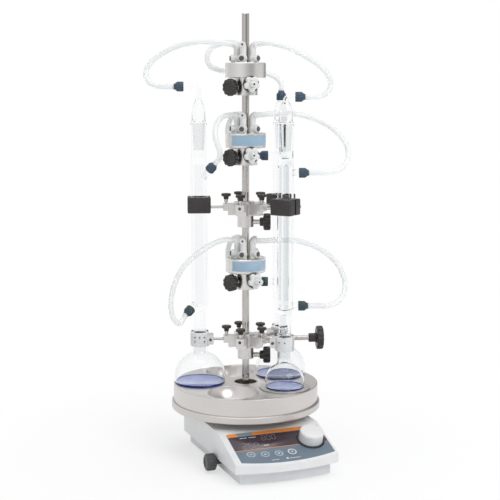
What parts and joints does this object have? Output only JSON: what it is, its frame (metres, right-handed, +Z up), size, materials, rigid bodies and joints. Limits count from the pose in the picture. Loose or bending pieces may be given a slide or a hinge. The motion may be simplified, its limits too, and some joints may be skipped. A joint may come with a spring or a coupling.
{
  "type": "parallel reflux extraction station",
  "caption": "Hotplate stirrer with a round heating block, flasks, jacketed condensers, hose manifolds and clamp hubs stacked on one support rod.",
  "frame": {"origin": "on the table under the middle of the whole object without its hoses", "axes": "+Z up along the support rod, -Y towards the control panel, +X towards the lift handle"},
  "size_m": [0.3043, 0.319, 0.725],
  "materials": {
    "white_housing": "satin moulded plastic",
    "grey_housing": "satin moulded plastic",
    "panel_foil": "satin printed foil",
    "display_glass": "gloss dark window",
    "key_plastic": "satin",
    "white_knob": "gloss moulded plastic",
    "hot_plate": "machined",
    "block_aluminium": "turned, satin",
    "insert_aluminium": "turned, satin",
    "polished_steel": "polished steel",
    "brushed_steel": "satin",
    "black_knob": "moulded, matt",
    "dark_knob": "moulded, matt",
    "board": "lacquered board",
    "magnet": "nickel plated",
    "black_plastic": "moulded",
    "foot_rubber": "matt",
    "clamp_steel": "satin with white collars",
    "manifold_steel": "turned",
    "white_ptfe": "smooth white",
    "borosilicate": "clear",
    "blue_cap": "ribbed moulding",
    "blue_liquid": "clear blue solution",
    "bar_ptfe": "smooth white coating",
    "silicone": "translucent tube"
  },
  "bodies": {
    "root": {"housing_base": "grey_housing", "housing_cover": "white_housing", "control_panel": "panel_foil", "display_window": "display_glass", "top_plate": "hot_plate", "stir_motor": "magnet", "circuit_board": "board", "power_inlet": "black_plastic", "feet": "foot_rubber"},
    "station": {"base_plate": "block_aluminium", "heating_block": "block_aluminium", "flask_insert": "insert_aluminium", "support_rod": "polished_steel", "lower_hub": "brushed_steel", "lower_thumbscrews": "black_knob", "flask_clamps": "clamp_steel", "lift_handle": "black_knob", "top_manifold": "manifold_steel", "middle_manifold": "manifold_steel", "lower_manifold": "manifold_steel", "outlet_elbows": "white_ptfe", "flask_left": "borosilicate", "flask_front": "borosilicate", "flask_back": "borosilicate", "condenser_left": "borosilicate", "condenser_front": "borosilicate", "condenser_back": "borosilicate", "gas_adaptors": "borosilicate", "hose_caps": "blue_cap", "liquid": "blue_liquid", "gas_hose_left": "silicone", "gas_hose_front": "silicone", "gas_hose_back": "silicone", "upper_hose_left": "silicone", "upper_hose_front": "silicone", "upper_hose_back": "silicone", "lower_hose_left": "silicone", "lower_hose_front": "silicone", "lower_hose_back": "silicone"},
    "magnet_rotor": {"drive_magnet": "magnet"},
    "control_knob": {"control_knob": "white_knob"},
    "side_clamp_knob": {"side_clamp_knob": "dark_knob"},
    "upper_clamp": {"upper_hub": "brushed_steel", "upper_thumbscrews": "black_knob", "condenser_clamps": "black_plastic"},
    "upper_hub_knob": {"upper_hub_knob": "black_knob"},
    "lower_hub_knob": {"lower_hub_knob": "black_knob"},
    "stir_bar_left": {"stir_bar_left": "bar_ptfe"},
    "stir_bar_front": {"stir_bar_front": "bar_ptfe"},
    "stir_bar_back": {"stir_bar_back": "bar_ptfe"},
    "key_1": {"key_1": "key_plastic"},
    "key_2": {"key_2": "key_plastic"},
    "key_3": {"key_3": "key_plastic"},
    "key_4": {"key_4": "key_plastic"},
    "top_clamp_knob": {"top_clamp_knob": "black_knob"},
    "top_inlet_tap": {"top_inlet_tap": "white_ptfe"},
    "middle_clamp_knob": {"middle_clamp_knob": "black_knob"},
    "middle_inlet_tap": {"middle_inlet_tap": "white_ptfe"},
    "lower_clamp_knob": {"lower_clamp_knob": "black_knob"},
    "lower_inlet_tap": {"lower_inlet_tap": "white_ptfe"}
  },
  "joints": [
    {"name": "block_lift", "type": "slide", "parent": "root", "child": "station", "axis": [0, 0, 1], "range_m": [0, 0.08]},
    {"name": "upper_clamp_slide", "type": "slide", "parent": "station", "child": "upper_clamp", "axis": [0, 0, 1], "range_m": [-0.008, 0.025]},
    {"name": "magnet_spin", "type": "hinge", "parent": "root", "child": "magnet_rotor", "pos_m": [-0.00324, 0.0355, 0.052], "axis": [0, 0, 1], "continuous": true},
    {"name": "stir_bar_left_spin", "type": "hinge", "parent": "station", "child": "stir_bar_left", "pos_m": [-0.07599, 0.05914, 0.095], "axis": [0, 0, 1], "continuous": true},
    {"name": "stir_bar_front_spin", "type": "hinge", "parent": "station", "child": "stir_bar_front", "pos_m": [0.04173, -0.02639, 0.095], "axis": [0, 0, 1], "continuous": true},
    {"name": "stir_bar_back_spin", "type": "hinge", "parent": "station", "child": "stir_bar_back", "pos_m": [0.06952, 0.05914, 0.095], "axis": [0, 0, 1], "continuous": true},
    {"name": "control_knob_turn", "type": "hinge", "parent": "root", "child": "control_knob", "pos_m": [0.05176, -0.11054, 0.0553], "axis": [0, -0.3281, 0.9446], "continuous": true},
    {"name": "key_1_press", "type": "slide", "parent": "root", "child": "key_1", "axis": [0, 0.3281, -0.9446], "range_m": [0, 0.0005], "stiffness_N_per_m": 600},
    {"name": "key_2_press", "type": "slide", "parent": "root", "child": "key_2", "axis": [0, 0.3281, -0.9446], "range_m": [0, 0.0005], "stiffness_N_per_m": 600},
    {"name": "key_3_press", "type": "slide", "parent": "root", "child": "key_3", "axis": [0, 0.3281, -0.9446], "range_m": [0, 0.0005], "stiffness_N_per_m": 600},
    {"name": "key_4_press", "type": "slide", "parent": "root", "child": "key_4", "axis": [0, 0.3281, -0.9446], "range_m": [0, 0.0005], "stiffness_N_per_m": 600},
    {"name": "side_clamp_knob_turn", "type": "hinge", "parent": "root", "child": "side_clamp_knob", "pos_m": [-0.09824, -0.0565, 0.016], "axis": [-1, 0, 0], "range_deg": [0, 360]},
    {"name": "lower_hub_knob_turn", "type": "hinge", "parent": "station", "child": "lower_hub_knob", "pos_m": [0.02477, 0.02475, 0.163], "axis": [0.9336, -0.3584, 0], "range_deg": [0, 360]},
    {"name": "upper_hub_knob_turn", "type": "hinge", "parent": "upper_clamp", "child": "upper_hub_knob", "pos_m": [0.02477, 0.02475, 0.387], "axis": [0.9336, -0.3584, 0], "range_deg": [0, 360]},
    {"name": "top_clamp_knob_turn", "type": "hinge", "parent": "station", "child": "top_clamp_knob", "pos_m": [-0.03064, 0.0233, 0.607], "axis": [-0.9135, -0.4067, 0], "range_deg": [0, 360]},
    {"name": "top_inlet_tap_turn", "type": "hinge", "parent": "station", "child": "top_inlet_tap", "pos_m": [-0.00637, 0.00566, 0.612], "axis": [-0.1045, -0.9945, 0], "range_deg": [0, 90]},
    {"name": "middle_clamp_knob_turn", "type": "hinge", "parent": "station", "child": "middle_clamp_knob", "pos_m": [-0.03064, 0.0233, 0.494], "axis": [-0.9135, -0.4067, 0], "range_deg": [0, 360]},
    {"name": "middle_inlet_tap_turn", "type": "hinge", "parent": "station", "child": "middle_inlet_tap", "pos_m": [-0.00637, 0.00566, 0.499], "axis": [-0.1045, -0.9945, 0], "range_deg": [0, 90]},
    {"name": "lower_clamp_knob_turn", "type": "hinge", "parent": "station", "child": "lower_clamp_knob", "pos_m": [-0.03064, 0.0233, 0.289], "axis": [-0.9135, -0.4067, 0], "range_deg": [0, 360]},
    {"name": "lower_inlet_tap_turn", "type": "hinge", "parent": "station", "child": "lower_inlet_tap", "pos_m": [-0.00115, 0.00557, 0.294], "axis": [0.0698, -0.9976, 0], "range_deg": [0, 90]}
  ],
  "couplings": [
    {"joint": "stir_bar_left_spin", "follows": "magnet_spin", "ratio": -1},
    {"joint": "stir_bar_front_spin", "follows": "magnet_spin", "ratio": -1},
    {"joint": "stir_bar_back_spin", "follows": "magnet_spin", "ratio": -1}
  ]
}
